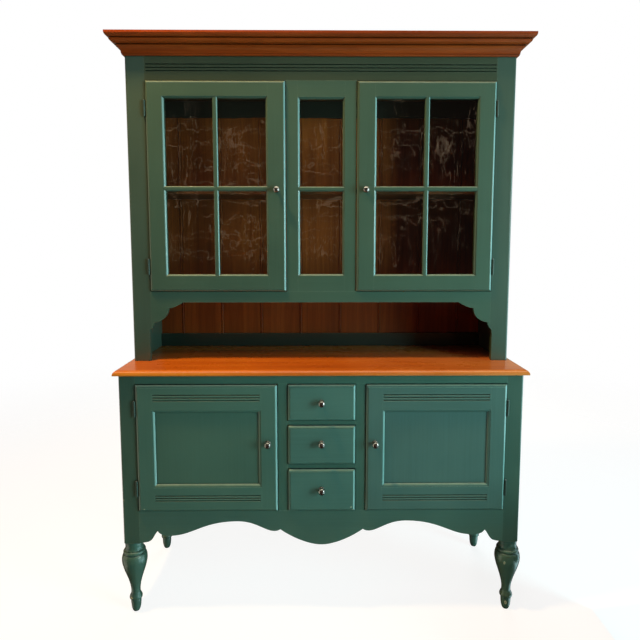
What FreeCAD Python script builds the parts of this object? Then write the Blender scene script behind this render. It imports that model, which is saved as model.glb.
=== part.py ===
import FreeCAD, Part
import os
from FreeCAD import Vector as V

os.makedirs("parts", exist_ok=True)

# Kitchen hutch: a painted base cabinet on four turned legs, with two panelled
# doors, a bank of three drawers and a moulded wooden worktop, carrying a glazed
# upper case with two glass doors, a fixed glazed light between them, an open
# niche over the worktop and a stained crown cornice.
# Units are millimetres. X is to the right, Y runs to the back, Z is up.
# While modelling, Y = 0 is the front face of the base's face frame and the feet
# end at Z = GROUND; everything is moved at the end so that the origin is the
# bottom centre of the overall box.

# ---------------------------------------------------------------- dimensions
# base cabinet
GROUND = 6.0             # the feet end at this height while modelling
BASE_HALF = 709.0        # half width over the corner posts
BASE_DEPTH = 476.0       # front of posts to back of posts
POST = 57.5              # square corner posts
POST_BOTTOM = 279.0      # legs screw on below this height
POST_ROUND = 7.0         # outer front arris of posts and upper stiles
TOP_UNDER = 897.0        # underside of the worktop
TOP_UPPER = 914.5        # worktop surface
TOP_TIP = 16.5           # overhang of the moulded front edge past the frame
TOP_TIP_END = 14.6       # the same at both ends
TOP_FLAT = 0.8           # where the flat surface ends, past the frame
FRAME_T = 20.0           # thickness of the face frames
BASE_OPEN_LO = 402.5     # openings of the base frame
BASE_OPEN_HI = 865.0
MULL_IN = 120.0          # mullion between drawers and doors
MULL_OUT = 153.5
# base doors
BDOOR_IN, BDOOR_OUT = 156.0, 649.0
BDOOR_LO, BDOOR_HI = 405.0, 862.5
BDOOR_STILE, BDOOR_RAIL = 66.0, 98.5
BDOOR_STICK = 10.0       # rounded moulding around the panel
FLUTE_LO, FLUTE_HI = 453.8, 817.8    # middle flutes of the two rails
BKNOB_Z = 653.5
# drawers: (front low, front high, opening low, opening high, box low, box high)
DRAWERS = {
    "bottom_drawer": (405.0, 556.6, 402.5, 559.1, 403.2, 535.0),
    "middle_drawer": (576.1, 715.1, 573.6, 717.6, 574.3, 698.5),
    "top_drawer": (734.1, 862.5, 731.6, 865.0, 732.3, 845.0),
}
KNOB_LIFT = {"bottom_drawer": 4.3, "middle_drawer": 8.3, "top_drawer": 2.3}
DRAWER_HALF = 118.0
DBOX_HALF, DBOX_BACK, DBOX_T = 112.0, 430.0, 12.0
# upper case
UP_HALF = 699.0          # half width over the upper stiles
UP_FACE = 140.0          # set back of the upper face frame
UP_BACK = 452.0
UP_TOP = 2075.0
UP_STILE_IN = 630.5      # joint of stiles and rails
STILE_FOOT_IN = 638.5    # inner edge of the stiles below the brackets
SIDE_T = 20.0
UP_OPEN_LO, UP_OPEN_HI = 1174.5, 1931.5
LOWER_RAIL_BOTTOM = 1134.7
UDOOR_IN, UDOOR_OUT = 129.5, 628.0
UDOOR_LO, UDOOR_HI = 1177.0, 1929.0
USTILE_IN, USTILE_OUT = 70.0, 65.5   # door stiles to the sight line
URAIL_LO, URAIL_HI = 62.0, 60.5      # door rails to the sight line
UKNOB_X, UKNOB_Z = 161.3, 1546.0
SASH_HALF = 127.0        # fixed centre light
SASH_SIGHT = 78.0
SASH_RAIL_LO, SASH_RAIL_HI = 64.5, 63.0
FRIEZE_Z = 1975.8        # middle flute of the frieze
BARS_Z = 1550.0          # centre height of the horizontal glazing bars
BAR_W = 18.0
SHELF_LO, SHELF_T = 1534.0, 18.0
BOARD_PLANE = 432.0      # front of the beaded back boards
# doors in general
PROUD = 10.0             # doors and drawers stand proud of the frame
DOOR_T = 22.0
LIP = 8.5                # width of the rounded front edges of doors and drawer fronts
LIP_STEP = 1.2           # the flat field stands this much above the rounding
LIP_FALL = 5.0           # the rounding falls back this far to the edge
STICK = 7.0              # rounded moulding around panels and glass
HINGE_GAP = 2.5
# hinges
HINGE_L, BARREL_R, PIN_R = 56.0, 4.5, 1.5
PIN_OUT, PIN_FWD = 5.0, 5.0
# cornice
CORNICE_TOP, CORNICE_LO = 2084.5, 2014.5
# legs
LEG_X, LEG_Y = 683.0, 33.0
LEG_Y_BACK = BASE_DEPTH - 47.5

KNOB_LEN = 28.0
Y_FRONT = -PROUD - KNOB_LEN
Y_BACK = BASE_DEPTH
Y_SHIFT = -(Y_FRONT + Y_BACK) / 2.0

nodes = {}


# ------------------------------------------------------------------- helpers
def box(x0, x1, y0, y1, z0, z1):
    return Part.makeBox(x1 - x0, y1 - y0, z1 - z0, V(x0, y0, z0))


def cyl(r, h, p, d=V(0, 0, 1)):
    return Part.makeCylinder(r, h, p, d)


def mirrored(s):
    return s.mirror(V(0, 0, 0), V(1, 0, 0))


def both(s):
    return [s, mirrored(s)]


def add(name, *shapes):
    out = nodes.setdefault(name, [])
    for s in shapes:
        if isinstance(s, (list, tuple)):
            add(name, *s)
        else:
            out.extend(s.Solids)


def prism_xz(points, y0, y1):
    """Closed outline in X and Z, extruded from y0 to y1."""
    pts = [V(x, y0, z) for x, z in points]
    face = Part.Face(Part.makePolygon(pts + [pts[0]]))
    return face.extrude(V(0, y1 - y0, 0))


def edge_path(segs, to3d):
    """Edges from a list: ('m', p), ('l', p), ('a', mid, end), ('s', [points])."""
    edges, cur = [], None
    for s in segs:
        if s[0] == "m":
            cur = to3d(*s[1])
        elif s[0] == "l":
            p = to3d(*s[1])
            edges.append(Part.LineSegment(cur, p).toShape())
            cur = p
        elif s[0] == "a":
            m, e = to3d(*s[1]), to3d(*s[2])
            edges.append(Part.Arc(cur, m, e).toShape())
            cur = e
        elif s[0] == "s":
            pts = [cur] + [to3d(*q) for q in s[1]]
            c = Part.BSplineCurve()
            c.interpolate(pts)
            edges.append(c.toShape())
            cur = pts[-1]
    return edges


def solid_of(segs, to3d, direction):
    w = Part.Wire(edge_path(segs, to3d))
    return Part.Face(w).extrude(direction)


def revolved(edges, base, axis):
    """Solid of revolution of a closed outline, with its faces outward."""
    wire = Part.Wire(edges)
    body = Part.Face(wire).revolve(base, axis, 360)
    if not body.isValid() or body.Volume < 0:
        body = Part.Face(wire).revolve(base, axis * -1, 360)
    return body


def round_over(side, at, y0, w, depth, a, b, beyond):
    """Prism that planes a shallow rounding along one side of a front face. It
    starts at the line `at` and falls back by depth over the width w."""
    sgn = 1.0 if side[1] == "+" else -1.0
    n = (w * w + depth * depth) ** 0.5
    s = 0.11 * n
    mu, my = w / 2 + s * depth / n, y0 + depth / 2 - s * w / n
    prof = [("m", (0, y0)), ("a", (mu, my), (w, y0 + depth)), ("l", (w + beyond, y0 + depth)),
            ("l", (w + beyond, y0 - 3)), ("l", (0, y0 - 3)), ("l", (0, y0))]
    if side[0] == "x":
        return solid_of(prof, lambda u, y: V(at + sgn * u, y, a), V(0, 0, b - a))
    return solid_of(prof, lambda u, y: V(a, y, at + sgn * u), V(b - a, 0, 0))


def flutes(x0, x1, zc, yface, pitch, width, depth, lip):
    """Three parallel round-bottomed flutes, to be cut from a rail. The lower
    edge of each is eased when lip is more than zero."""
    h = width / 2
    prof = [("m", (-1.0, h)), ("l", (depth - h, h)), ("a", (depth, 0), (depth - h, -h))]
    if lip > 0:
        prof += [("l", (lip, -h)), ("a", (lip * 0.293, -h - lip * 0.293), (0, -h - lip)), ("l", (-1.0, -h - lip))]
    else:
        prof += [("l", (-1.0, -h))]
    prof += [("l", (-1.0, h))]
    return [solid_of(prof, lambda d, z, k=k: V(x0, yface + d, zc + k * pitch + z), V(x1 - x0, 0, 0))
            for k in (-1, 0, 1)]


def lipped_board(x0, x1, yf, yb, z0, z1, lip, corner, outer=0.0):
    """Board with a rounded front edge that meets the flat field in a small step."""
    ys = yf + LIP_STEP
    f = box(x0, x1, ys, yb, z0, z1)
    if outer > 0:
        f = f.makeFillet(outer, [e for e in f.Edges if e.BoundBox.YMax - e.BoundBox.YMin > 5])
    for cut in (round_over("x+", x1 - lip, ys, lip, LIP_FALL, z0 - 2, z1 + 2, 2.0),
                round_over("x-", x0 + lip, ys, lip, LIP_FALL, z0 - 2, z1 + 2, 2.0),
                round_over("z+", z1 - lip, ys, lip, LIP_FALL, x0 - 2, x1 + 2, 2.0),
                round_over("z-", z0 + lip, ys, lip, LIP_FALL, x0 - 2, x1 + 2, 2.0)):
        f = f.cut(cut)
    field = box(x0 + lip, x1 - lip, yf, ys + 2.0, z0 + lip, z1 - lip)
    field = field.makeFillet(corner, [e for e in field.Edges if e.BoundBox.YMax - e.BoundBox.YMin > 1])
    return f.fuse(field).removeSplitter()


def moulded_frame(x0, x1, z0, z1, yf, yb, stile_lo, stile_hi, rail_lo, rail_hi, lip, stick,
                  groove=None, rabbet=None, flute=None):
    """Frame with a rounded outer lip and a stepped, rounded inner moulding.
    It is returned as two stiles and two rails with mitred moulding."""
    sx0, sx1 = x0 + stile_lo, x1 - stile_hi
    sz0, sz1 = z0 + rail_lo, z1 - rail_hi
    m0, m1, n0, n1 = sx0 - stick, sx1 + stick, sz0 - stick, sz1 + stick
    if lip > 0:
        f = lipped_board(x0, x1, yf, yb, z0, z1, lip, 1.5)
    else:
        f = box(x0, x1, yf, yb, z0, z1)
    step, fall = 1.2, 6.0
    f = f.cut(box(m0, m1, yf - 1, yf + step, n0, n1))
    f = f.cut(box(sx0, sx1, yf - 1, yb + 1, sz0, sz1))
    t = stick + 1.0
    for side, at, a, b, pts in (
            ("x+", m0, n0, n1, [(m0, n0), (m0 + t, n0 + t), (m0 + t, n1 - t), (m0, n1)]),
            ("x-", m1, n0, n1, [(m1, n0), (m1 - t, n0 + t), (m1 - t, n1 - t), (m1, n1)]),
            ("z+", n0, m0, m1, [(m0, n0), (m0 + t, n0 + t), (m1 - t, n0 + t), (m1, n0)]),
            ("z-", n1, m0, m1, [(m0, n1), (m0 + t, n1 - t), (m1 - t, n1 - t), (m1, n1)])):
        f = f.cut(round_over(side, at, yf + step, stick, fall, a, b, 0.5).common(prism_xz(pts, yf - 10, yb + 10)))
    if groove:
        depth, gy0, gy1 = groove
        f = f.cut(box(sx0 - depth, sx1 + depth, gy0, gy1, sz0 - depth, sz1 + depth))
    if rabbet:
        depth, ry = rabbet
        f = f.cut(box(sx0 - depth, sx1 + depth, ry, yb + 1, sz0 - depth, sz1 + depth))
    ya, yc = yf - 2, yb + 2
    left = prism_xz([(x0 - 1, z0 - 1), (m0, z0 - 1), (m0, n0), (sx0, sz0), (sx0 + 1, sz0 + 1),
                     (sx0 + 1, sz1 - 1), (sx0, sz1), (m0, n1), (m0, z1 + 1), (x0 - 1, z1 + 1)], ya, yc)
    right = prism_xz([(x1 + 1, z0 - 1), (m1, z0 - 1), (m1, n0), (sx1, sz0), (sx1 - 1, sz0 + 1),
                      (sx1 - 1, sz1 - 1), (sx1, sz1), (m1, n1), (m1, z1 + 1), (x1 + 1, z1 + 1)], ya, yc)
    stiles = [f.common(left), f.common(right)]
    out = []
    for r in f.cut(left).cut(right).Solids:
        for zc, pitch in (flute or ()):
            if r.BoundBox.ZMin < zc < r.BoundBox.ZMax:
                for c in flutes(m0 + 4.0, m1 - 4.0, zc, yf, pitch, 4.4, 5.0, 1.5):
                    r = r.cut(c)
        out.append(r)
    return stiles + out, f


def bar_shape(x0, x1, z0, z1, yf, yb, r):
    """Glazing bar: a strip with both front edges rounded."""
    b = box(x0, x1, yf, yb, z0, z1)
    vertical = (z1 - z0) > (x1 - x0)
    es = []
    for e in b.Edges:
        bb = e.BoundBox
        if abs(bb.YMin - yf) < 0.01 and abs(bb.YMax - yf) < 0.01:
            long_z = bb.ZMax - bb.ZMin > 1
            long_x = bb.XMax - bb.XMin > 1
            if (vertical and long_z and not long_x) or (not vertical and long_x and not long_z):
                es.append(e)
    return b.makeFillet(r, es)


def ball_knob(x, yface, z):
    """Small turned metal knob: flange, neck and slightly flattened ball."""
    prof = [("m", (0, 0)), ("l", (9.0, 0)), ("s", [(9.6, 0.6), (9.6, 1.5), (8.6, 2.4)]), ("l", (6.0, 3.2)),
            ("s", [(4.6, 4.6), (4.2, 6.8), (4.6, 9.2), (6.6, 10.4)]),
            ("s", [(9.8, 12.0), (11.8, 14.9), (12.3, 18.2), (11.5, 21.6), (9.4, 24.6), (6.4, 26.6), (3.4, 27.7), (0.6, KNOB_LEN)]),
            ("l", (0, KNOB_LEN)), ("l", (0, 0))]
    edges = edge_path(prof, lambda r, h: V(x + r, yface - h, z))
    return revolved(edges, V(x, yface, z), V(0, 1, 0))


def knob_screw(x, yface, z, t):
    """Mounting screw from the back of the door or drawer front."""
    return cyl(2.0, t, V(x, yface, z), V(0, 1, 0)).fuse(cyl(4.5, 2.2, V(x, yface + t, z), V(0, 1, 0)))


def hinge(xe, yface, zc):
    """Right-hand butt hinge for a door whose outer edge is at x = xe.
    Returns frame leaf, door leaf, pin, frame screws, door screws."""
    px, py = xe + PIN_OUT, yface - PIN_FWD
    z0 = zc - HINGE_L / 2
    s = [(z0, z0 + 18.0), (z0 + 18.3, z0 + 37.7), (z0 + 38.0, z0 + HINGE_L)]
    yb = yface + 12.0
    axis = V(px, py, z0 - 1)
    bore = cyl(PIN_R + 0.05, HINGE_L + 2, axis)
    fl = None
    for k in (0, 2):
        b = cyl(BARREL_R, s[k][1] - s[k][0], V(px, py, s[k][0]))
        p = box(xe + 1.3, xe + 2.5, py, yb, s[k][0], s[k][1])
        b = b.fuse(p)
        fl = b if fl is None else fl.fuse(b)
    fl = fl.fuse(box(xe + 1.3, xe + 2.5, yface - 0.6, yb, z0, z0 + HINGE_L)).removeSplitter()
    fl = fl.cut(bore)
    dl = cyl(BARREL_R, s[1][1] - s[1][0], V(px, py, s[1][0]))
    dl = dl.fuse(box(xe, xe + 1.2, py, yb, s[1][0], s[1][1]))
    dl = dl.fuse(box(xe, xe + 1.2, yface - 1.8, yb, z0, z0 + HINGE_L)).removeSplitter()
    dl = dl.cut(bore)
    pin = cyl(PIN_R, HINGE_L, V(px, py, z0))
    head = revolved(edge_path(
        [("m", (0, HINGE_L)), ("l", (3.4, HINGE_L)), ("s", [(3.3, HINGE_L + 0.8), (2.6, HINGE_L + 1.5),
                                                             (1.5, HINGE_L + 2.0), (0.4, HINGE_L + 2.2)]),
         ("l", (0, HINGE_L + 2.2)), ("l", (0, HINGE_L))],
        lambda r, h: V(px + r, py, z0 + h)), V(px, py, z0), V(0, 0, 1))
    pin = pin.fuse(head)
    fs, ds = [], []
    for dz in (-19.0, 0.0, 19.0):
        yy = yface + (6.5 if dz else 5.0)
        sf = cyl(2.0, 12.0, V(xe + 1.3, yy, zc + dz), V(1, 0, 0))
        sd = cyl(2.0, 12.0, V(xe - 10.8, yy, zc + dz), V(1, 0, 0))
        fl = fl.cut(sf)
        dl = dl.cut(sd)
        fs.append(sf)
        ds.append(sd)
    return fl, dl, pin, fs, ds


# ------------------------------------------------------------- hinge hardware
hinge_frame, hinge_pins, frame_screws = [], [], []
door_leaves = {}
frame_screw_cuts = []
for side, sx in (("right", 1), ("left", -1)):
    for tier, xe, yf, zs in (("base", BDOOR_OUT, 0.0, (487.0, 777.0)),
                             ("upper", UDOOR_OUT, UP_FACE, (1266.0, 1833.0))):
        name = f"{tier}_{side}_door"
        leaves, screws = [], []
        for zc in zs:
            fl, dl, pin, fs, ds = hinge(xe, yf, zc)
            if sx < 0:
                fl, dl, pin = mirrored(fl), mirrored(dl), mirrored(pin)
                fs, ds = [mirrored(q) for q in fs], [mirrored(q) for q in ds]
            hinge_frame.append(fl)
            hinge_pins.append(pin)
            frame_screws += fs
            leaves.append(dl)
            screws += ds
        door_leaves[name] = (leaves, screws)
add("hinge_frame_leaves", hinge_frame, frame_screws)
add("hinge_pins", hinge_pins)


def cut_all(shape, tools):
    bb = shape.BoundBox
    for t in tools:
        if bb.intersect(t.BoundBox):
            shape = shape.cut(t)
    return shape


# ------------------------------------------------------------ base: main frame
leg_points = [(sx * LEG_X, y) for sx in (-1, 1) for y in (LEG_Y, LEG_Y_BACK)]
bolts = [cyl(4.0, 110.0, V(x, y, POST_BOTTOM - 50.0)) for x, y in leg_points]
add("leg_bolts", bolts)

x_in = BASE_HALF - POST
post = box(x_in, BASE_HALF, 0, POST, POST_BOTTOM, TOP_UNDER)
post = post.makeFillet(POST_ROUND, [e for e in post.Edges
                                    if abs(e.BoundBox.XMin - BASE_HALF) < .01 and abs(e.BoundBox.YMax) < .01
                                    and e.BoundBox.ZMax - e.BoundBox.ZMin > 10])
post = post.makeChamfer(2.0, [e for e in post.Edges if e.BoundBox.ZMax < POST_BOTTOM + .01])
back_post = box(x_in, BASE_HALF, BASE_DEPTH - POST, BASE_DEPTH, POST_BOTTOM, TOP_UNDER)
back_post = back_post.makeChamfer(2.0, [e for e in back_post.Edges if e.BoundBox.ZMax < POST_BOTTOM + .01])
posts = both(post) + both(back_post)
posts = [cut_all(p, bolts + frame_screws) for p in posts]
add("corner_posts", posts)

# front top rail, mullions and drawer rails
rail = box(-x_in, x_in, 0, FRAME_T, BASE_OPEN_HI, TOP_UNDER)
add("base_top_rail", rail)
add("base_mullions", both(box(MULL_IN, MULL_OUT, 0, FRAME_T, BASE_OPEN_LO, BASE_OPEN_HI)))
dz = [DRAWERS["bottom_drawer"][3], DRAWERS["middle_drawer"][2],
      DRAWERS["middle_drawer"][3], DRAWERS["top_drawer"][2]]
add("drawer_rails", box(-MULL_IN, MULL_IN, 0, FRAME_T + 40, dz[0], dz[1]).cut(box(-200, -MULL_IN + 8, FRAME_T, 100, 0, 2000)).cut(box(MULL_IN - 8, 200, FRAME_T, 100, 0, 2000)),
    box(-MULL_IN, MULL_IN, 0, FRAME_T + 40, dz[2], dz[3]).cut(box(-200, -MULL_IN + 8, FRAME_T, 100, 0, 2000)).cut(box(MULL_IN - 8, 200, FRAME_T, 100, 0, 2000)))

# scalloped front apron: half outline from the post to the centre
apron_half = [
    [(x_in, 281.5), (640.0, 284.4), (626.0, 286.2), (612.5, 291.5), (604.5, 300.0), (599.0, 309.0), (586.5, 327.0)],
    [(574.0, 315.0), (552.0, 309.6), (526.5, 310.2), (496.5, 315.4), (466.0, 325.4), (425.5, 341.0),
     (375.0, 355.6), (325.0, 362.0), (285.0, 362.0), (250.0, 354.8), (215.5, 340.6), (190.0, 329.6), (170.0, 325.6),
     (157.0, 327.4), (148.3, 332.0)],
    [(136.5, 324.0), (100.0, 302.8), (50.0, 282.6), (0.0, 274.2)],
]
mir = lambda pts: [(-x, z) for x, z in reversed(pts)]
s1, s2, s3 = apron_half
segs = [("m", (-x_in, BASE_OPEN_LO)), ("l", (x_in, BASE_OPEN_LO)), ("l", s1[0]), ("s", s1[1:]), ("s", s2),
        ("s", s3 + mir(s3)[1:] + [(-148.3, 332.0)]), ("s", mir(s2)[1:] + [(-586.5, 327.0)]),
        ("s", mir(s1)[1:]), ("l", (-x_in, BASE_OPEN_LO))]
apron = solid_of(segs, lambda x, z: V(x, 0, z), V(0, FRAME_T, 0))
add("front_apron", apron)

# sides: flat panel held between two rails; the lower rail is arched
sy0, sy1 = POST, BASE_DEPTH - POST
side_top = box(685.0, 707.0, sy0, sy1, 815.0, TOP_UNDER)
arch = [("m", (sy0, BASE_OPEN_LO)), ("l", (sy1, BASE_OPEN_LO)), ("l", (sy1, 281.5)),
        ("s", [(sy1 - 34, 290.0), (sy1 - 52, 312.0), (sy1 - 70, 327.0)]),
        ("s", [(sy1 - 110, 338.0), ((sy0 + sy1) / 2, 352.0), (sy0 + 110, 338.0), (sy0 + 70, 327.0)]),
        ("s", [(sy0 + 52, 312.0), (sy0 + 34, 290.0), (sy0, 281.5)]), ("l", (sy0, BASE_OPEN_LO))]
side_low = solid_of(arch, lambda y, z: V(685.0, y, z), V(22.0, 0, 0))
side_panel = box(691.0, 697.0, sy0, sy1, BASE_OPEN_LO - 8.0, 823.0)
side_top = side_top.cut(side_panel)
side_low = side_low.cut(side_panel)
add("case_rails", both(side_top), both(side_low),
    box(-x_in, x_in, 450.0, 470.0, 320.0, 384.5))
add("side_panels", both(side_panel))

# floor of the base, partitions, cupboard shelves and their cleats, back
floor_b = box(-685.0, 685.0, FRAME_T, 464.0, BASE_OPEN_LO - 18.0, BASE_OPEN_LO)
for p in posts:
    bb = p.BoundBox
    floor_b = floor_b.cut(box(bb.XMin, bb.XMax, bb.YMin - 1, bb.YMax + 1, 300, 900))
add("base_bottom_board", floor_b)
part_r = box(128.0, 146.0, FRAME_T, 464.0, BASE_OPEN_LO, TOP_UNDER)
rails_d = nodes["drawer_rails"]
add("base_partitions", both(part_r))
shelf_r = box(147.0, 650.0, 60.0, 460.0, 625.0, 643.0)
cleat_a = box(146.0, 164.0, 60.0, 460.0, 603.0, 625.0)
cleat_b = box(x_in - 20.0, x_in, 30.0, 460.0, 603.0, 625.0)
add("cupboard_shelves", both(shelf_r))
add("shelf_cleats", both(cleat_a), both(cleat_b))
add("base_back_panel", box(-x_in, x_in, 464.0, 470.0, 384.5, TOP_UNDER))

# drawer runners: the drawer sides slide on the lower strips, between the guides
runners = []
for name in ("middle_drawer", "top_drawer"):
    lo = DRAWERS[name][2]
    runners.append(box(98.0, 128.0, FRAME_T + 40.0, 464.0, lo - 14.0, lo))
    runners.append(box(112.6, 128.0, FRAME_T + 2.0, 464.0, lo, lo + 20.0).cut(box(90, MULL_IN, 0, 24, 0, 2000)))
runners.append(box(112.6, 128.0, FRAME_T + 4.0, 464.0, BASE_OPEN_LO, BASE_OPEN_LO + 20.0))
runners.append(box(98.0, 128.0, FRAME_T + 4.0, 464.0, 848.0, 862.0))
for r in runners:
    add("drawer_runners", both(r))

# worktop: moulded on the front and both ends, square at the back
fx = BASE_HALF + TOP_FLAT
tx = BASE_HALF + TOP_TIP_END
top_side = [("m", (-tx, TOP_UNDER)), ("l", (tx, TOP_UNDER)), ("l", (tx, TOP_UNDER + 2.6)),
            ("a", (tx - 3.9, TOP_UNDER + 12.4), (fx, TOP_UPPER)), ("l", (-fx, TOP_UPPER)),
            ("a", (-tx + 3.9, TOP_UNDER + 12.4), (-tx, TOP_UNDER + 2.6)), ("l", (-tx, TOP_UNDER))]
top_a = solid_of(top_side, lambda x, z: V(x, -60.0, z), V(0, BASE_DEPTH + 60.0, 0))
top_front = [("m", (-TOP_TIP, TOP_UNDER)), ("l", (BASE_DEPTH, TOP_UNDER)), ("l", (BASE_DEPTH, TOP_UPPER)),
             ("l", (-TOP_FLAT, TOP_UPPER)), ("a", (-TOP_TIP + 4.4, TOP_UNDER + 12.4), (-TOP_TIP, TOP_UNDER + 2.6)),
             ("l", (-TOP_TIP, TOP_UNDER))]
top_b = solid_of(top_front, lambda y, z: V(-800.0, y, z), V(1600.0, 0, 0))
add("counter_top", top_a.common(top_b))

# turned legs: (radius, height)
leg_prof = [("m", (0, POST_BOTTOM)), ("l", (30.2, POST_BOTTOM)), ("a", (31.4, 270.0), (31.0, 260.0)),
            ("a", (31.6, 254.0), (33.6, 248.4)), ("l", (32.4, 246.4)), ("l", (35.0, 244.8)),
            ("a", (39.0, 239.6), (37.8, 234.2)), ("l", (36.4, 232.4)),
            ("s", [(39.6, 229.6), (42.6, 223.6), (44.2, 216.0), (44.6, 208.5), (44.1, 200.5), (42.6, 192.0),
                   (40.0, 181.5), (36.8, 170.0), (32.8, 158.0), (28.6, 145.5), (24.7, 133.0), (21.4, 121.0),
                   (18.6, 109.0), (16.9, 97.0), (16.1, 87.0), (16.2, 79.5)]),
            ("s", [(17.6, 74.5), (20.0, 69.5), (22.0, 64.5)]), ("a", (22.8, 60.0), (21.8, 55.4)),
            ("l", (18.4, 53.4)), ("l", (17.2, 52.0)), ("l", (17.8, 50.2)),
            ("s", [(18.2, 46.0), (17.8, 38.0), (17.0, 29.0), (15.8, 20.0), (13.6, 12.0), (10.5, GROUND)]),
            ("l", (0, GROUND)), ("l", (0, POST_BOTTOM))]
legs = []
for x, y in leg_points:
    leg = revolved(edge_path(leg_prof, lambda r, z: V(x + r, y, z)), V(x, y, 0), V(0, 0, 1))
    legs.append(cut_all(leg, bolts))
add("legs", legs)

# ------------------------------------------------------------- upper case body
side = box(UP_HALF - SIDE_T, UP_HALF, UP_FACE + FRAME_T, UP_BACK, TOP_UPPER, UP_TOP)
pins = [cyl(2.5, 16.0, V(UP_HALF - 28.0, y, SHELF_LO - 2.5), V(1, 0, 0)) for y in (215.0, 385.0)]
side = cut_all(side, pins)
add("upper_sides", both(side))
add("shelf_pins", [both(p) for p in pins])

# scalloped brackets: the stile feet and the lower rail share one sawn outline
bracket = [("l", (512.0, LOWER_RAIL_BOTTOM)), ("s", [(524.0, 1127.5), (541.0, 1118.6), (554.0, 1114.2), (568.0, 1112.4)]),
           ("s", [(570.5, 1096.0), (577.0, 1083.0), (588.0, 1071.6), (603.0, 1063.2), (621.0, 1059.6)]),
           ("s", [(624.2, 1048.0), (629.5, 1039.0), (635.5, 1031.0), (638.0, 1020.0), (STILE_FOOT_IN, 1008.0)]),
           ("l", (STILE_FOOT_IN, TOP_UPPER))]
face_half = [("m", (0, UP_OPEN_LO)), ("l", (0, LOWER_RAIL_BOTTOM))] + bracket + \
            [("l", (UP_HALF, TOP_UPPER)), ("l", (UP_HALF, UP_OPEN_LO)), ("l", (0, UP_OPEN_LO))]
lower_half = solid_of(face_half, lambda x, z: V(x, UP_FACE, z), V(0, FRAME_T, 0))
stile_low = lower_half.common(box(UP_STILE_IN, UP_HALF + 1, 0, 400, 800, UP_OPEN_LO))
stile = stile_low.fuse(box(UP_STILE_IN, UP_HALF, UP_FACE, UP_FACE + FRAME_T, UP_OPEN_LO, UP_TOP)).removeSplitter()
stile = stile.makeFillet(POST_ROUND, [e for e in stile.Edges
                                      if abs(e.BoundBox.XMin - UP_HALF) < .01 and abs(e.BoundBox.YMax - UP_FACE) < .01
                                      and e.BoundBox.ZMax - e.BoundBox.ZMin > 10])
stiles = [cut_all(s, frame_screws) for s in both(stile)]
add("upper_stiles", stiles)
half_rail = lower_half.common(box(0, UP_STILE_IN, 0, 400, 800, UP_OPEN_LO))
add("upper_lower_rail", half_rail.fuse(mirrored(half_rail)).removeSplitter())
top_rail = box(-UP_STILE_IN, UP_STILE_IN, UP_FACE, UP_FACE + FRAME_T, UP_OPEN_HI, UP_TOP)
for c in flutes(-626.0, 626.0, FRIEZE_Z, UP_FACE, 11.3, 4.6, 5.0, 0.0):
    top_rail = top_rail.cut(c)
add("upper_top_rail", top_rail)

inner = UP_HALF - SIDE_T
y_in0 = UP_FACE + FRAME_T
add("case_boards", box(-inner, inner, y_in0, BOARD_PLANE, UP_OPEN_LO - 18.0, UP_OPEN_LO),
    box(-inner, inner, y_in0, BOARD_PLANE, UP_OPEN_HI, UP_OPEN_HI + 18.0),
    box(-inner, inner, y_in0, BOARD_PLANE + 10.0, UP_TOP - 18.0, UP_TOP))
add("display_shelf", box(-inner + 1, inner - 1, 176.0, 418.0, SHELF_LO, SHELF_LO + SHELF_T))
add("back_rails", box(-inner, inner, BOARD_PLANE - 12.0, BOARD_PLANE, TOP_UPPER, 968.0),
    box(-inner, inner, BOARD_PLANE - 12.0, BOARD_PLANE, 1866.0, UP_OPEN_HI))
# beaded back boards: each has a small bead and quirk along one edge
xs = [-inner, -581.3, -413.8, -246.5, -79.0, 88.4, 255.9, 423.2, 590.7, inner]
for a, b in zip(xs[:-1], xs[1:]):
    bd = box(a, b, BOARD_PLANE, BOARD_PLANE + 10.0, TOP_UPPER, UP_TOP - 18.0)
    h = UP_TOP
    if b < inner - 1:
        bd = bd.cut(box(b - 2.2, b + 1, BOARD_PLANE - 1, BOARD_PLANE + 3.2, 800, h))
        bd = bd.cut(box(b - 11.4, b - 9.4, BOARD_PLANE - 1, BOARD_PLANE + 3.2, 800, h))
        sq = box(b - 9.4, b - 2.2, BOARD_PLANE - 1, BOARD_PLANE + 3.2, 800, h)
        rd = cyl(3.6, h - 800, V(b - 5.8, BOARD_PLANE + 3.6, 800))
        bd = bd.cut(sq.cut(rd))
    add("back_boards", bd)

# crown cornice, mitred at the front corners: (projection, height)
cor = [("m", (0, CORNICE_LO)), ("l", (2.0, CORNICE_LO)), ("a", (5.8, 2016.6), (7.0, 2020.6)), ("l", (7.0, 2021.8)),
       ("l", (8.4, 2021.8)), ("l", (8.4, 2024.2)), ("a", (12.0, 2035.2), (24.0, 2045.2)), ("l", (20.0, 2045.8)),
       ("l", (20.0, 2049.4)), ("l", (28.6, 2049.4)), ("l", (28.6, 2051.8)), ("l", (30.0, 2052.0)),
       ("a", (36.6, 2055.8), (39.5, 2062.6)), ("l", (36.0, 2063.2)), ("l", (36.0, 2066.8)), ("l", (41.8, 2066.8)),
       ("a", (47.4, 2069.4), (50.8, 2076.0)), ("l", (51.5, 2077.0)), ("l", (51.5, CORNICE_TOP)),
       ("l", (0, CORNICE_TOP)), ("l", (0, CORNICE_LO))]
front_c = solid_of(cor, lambda d, z: V(-900.0, UP_FACE - d, z), V(1800.0, 0, 0))
cut_front = Part.Face(Part.makePolygon([V(-UP_HALF, UP_FACE, 1900), V(UP_HALF, UP_FACE, 1900),
                                        V(UP_HALF + 90, UP_FACE - 90, 1900), V(-UP_HALF - 90, UP_FACE - 90, 1900),
                                        V(-UP_HALF, UP_FACE, 1900)])).extrude(V(0, 0, 300))
front_c = front_c.common(cut_front)
side_c = solid_of(cor, lambda d, z: V(UP_HALF + d, 0.0, z), V(0, UP_BACK, 0))
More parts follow.
